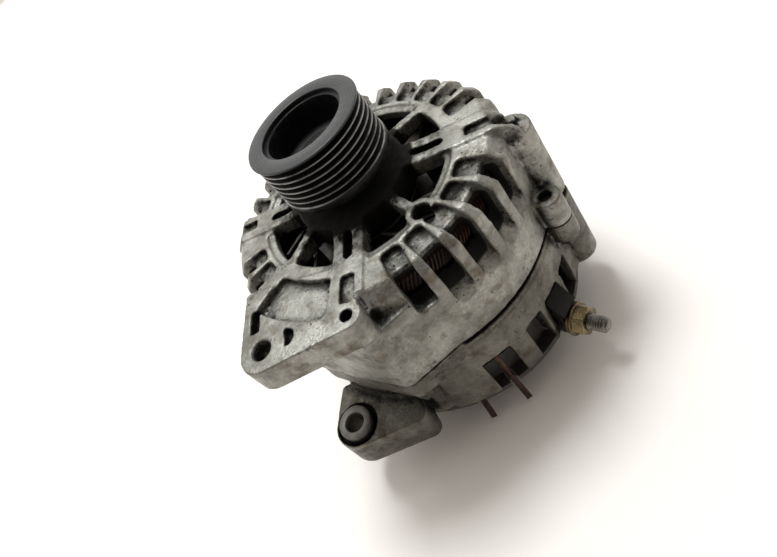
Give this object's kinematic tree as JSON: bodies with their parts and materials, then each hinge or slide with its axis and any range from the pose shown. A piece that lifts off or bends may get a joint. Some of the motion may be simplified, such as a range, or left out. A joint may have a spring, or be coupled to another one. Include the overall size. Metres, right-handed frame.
{
  "type": "car alternator",
  "caption": "Car alternator with internal fans, slotted die-cast brackets, two mounting feet, a poly-V one-way pulley, claw-pole rotor, rectifier and plastic rear cover.",
  "frame": {"origin": "on the shaft axis, at the flat end face of the rear cover", "axes": "+Z along the shaft towards the pulley; +X so that the mounting feet lie at about 206 degrees, towards -X and -Y, and the battery stud points towards -Y and a little +X"},
  "size_m": [0.1737, 0.1674, 0.166],
  "materials": {
    "cast_alloy": "as die cast, weathered",
    "zinc_steel": "zinc plated",
    "lamination_steel": "stacked laminations, varnished",
    "copper_wire": "enamelled copper",
    "copper_strip": "tinned copper",
    "bearing_steel": "ground",
    "black_plastic": "moulded",
    "seal_rubber": "moulded",
    "forged_steel": "forged",
    "fan_steel": "pressed sheet",
    "pulley_black": "blackened steel",
    "dark_steel": "oiled",
    "sink_alloy": "plain",
    "carbon": "pressed carbon",
    "zinc_yellow": "yellow passivated",
    "cover_plastic": "glass-filled, moulded",
    "bush_steel": "plain, tarnished"
  },
  "bodies": {
    "housing": {"front_housing": "cast_alloy", "rear_housing": "cast_alloy", "through_bolts": "zinc_steel", "stator_core": "lamination_steel", "stator_winding": "copper_wire", "stator_leads": "copper_strip", "bearing_retainer": "zinc_steel", "retainer_screws": "zinc_steel", "front_bearing_outer_ring": "bearing_steel", "front_bearing_seals": "seal_rubber", "rear_bearing_outer_ring": "bearing_steel", "rear_bearing_seals": "seal_rubber", "negative_plate": "sink_alloy", "positive_plate": "sink_alloy", "terminal_ring": "black_plastic", "negative_diodes": "sink_alloy", "positive_diodes": "sink_alloy", "brush_holder": "black_plastic", "upper_brush_spring": "bearing_steel", "lower_brush_spring": "bearing_steel", "voltage_regulator": "black_plastic", "regulator_pins": "zinc_steel", "regulator_screws": "zinc_steel", "b_plus_stud": "zinc_steel", "b_plus_insulator": "black_plastic", "b_plus_washer": "zinc_steel", "b_plus_nut": "zinc_yellow", "rear_cover": "cover_plastic", "cover_nuts": "zinc_steel"},
    "rotor": {"shaft": "bearing_steel", "rear_claw_pole": "forged_steel", "front_claw_pole": "forged_steel", "coil_bobbin": "black_plastic", "field_coil": "copper_wire", "front_fan": "fan_steel", "rear_fan": "fan_steel", "spacer_collar": "bearing_steel", "slip_ring_carrier": "black_plastic", "slip_rings": "copper_strip", "front_bearing_inner_ring": "bearing_steel", "rear_bearing_inner_ring": "bearing_steel", "pulley_hub": "dark_steel", "clutch_rollers": "bearing_steel", "clutch_cage": "black_plastic"},
    "pulley": {"pulley_ring": "pulley_black", "pulley_seal": "seal_rubber"},
    "front_ball_set": {"front_bearing_balls": "bearing_steel", "front_bearing_cage": "black_plastic"},
    "rear_ball_set": {"rear_bearing_balls": "bearing_steel", "rear_bearing_cage": "black_plastic"},
    "bush": {"foot_bush": "bush_steel"},
    "brush_upper": {"upper_brush": "carbon"},
    "brush_lower": {"lower_brush": "carbon"}
  },
  "joints": [
    {"name": "rotor_spin", "type": "hinge", "parent": "housing", "child": "rotor", "pos_m": [0, 0, 0.085], "axis": [0, 0, 1], "continuous": true},
    {"name": "pulley_overrun", "type": "hinge", "parent": "rotor", "child": "pulley", "pos_m": [0, 0, 0.15], "axis": [0, 0, 1], "continuous": true},
    {"name": "front_balls_roll", "type": "hinge", "parent": "housing", "child": "front_ball_set", "pos_m": [0, 0, 0.1165], "axis": [0, 0, 1], "continuous": true},
    {"name": "rear_balls_roll", "type": "hinge", "parent": "housing", "child": "rear_ball_set", "pos_m": [0, 0, 0.0375], "axis": [0, 0, 1], "continuous": true},
    {"name": "bush_slide", "type": "slide", "parent": "housing", "child": "bush", "axis": [0, 0, 1], "range_m": [0, 0.0025]},
    {"name": "upper_brush_slide", "type": "slide", "parent": "housing", "child": "brush_upper", "axis": [0, 1, 0], "range_m": [0, 0.005], "stiffness_N_per_m": 300, "springref_m": -0.01, "deforming": ["upper_brush_spring"]},
    {"name": "lower_brush_slide", "type": "slide", "parent": "housing", "child": "brush_lower", "axis": [0, 1, 0], "range_m": [0, 0.005], "stiffness_N_per_m": 300, "springref_m": -0.01, "deforming": ["lower_brush_spring"]}
  ],
  "couplings": [
    {"joint": "front_balls_roll", "follows": "rotor_spin", "ratio": 0.375},
    {"joint": "rear_balls_roll", "follows": "rotor_spin", "ratio": 0.38}
  ]
}
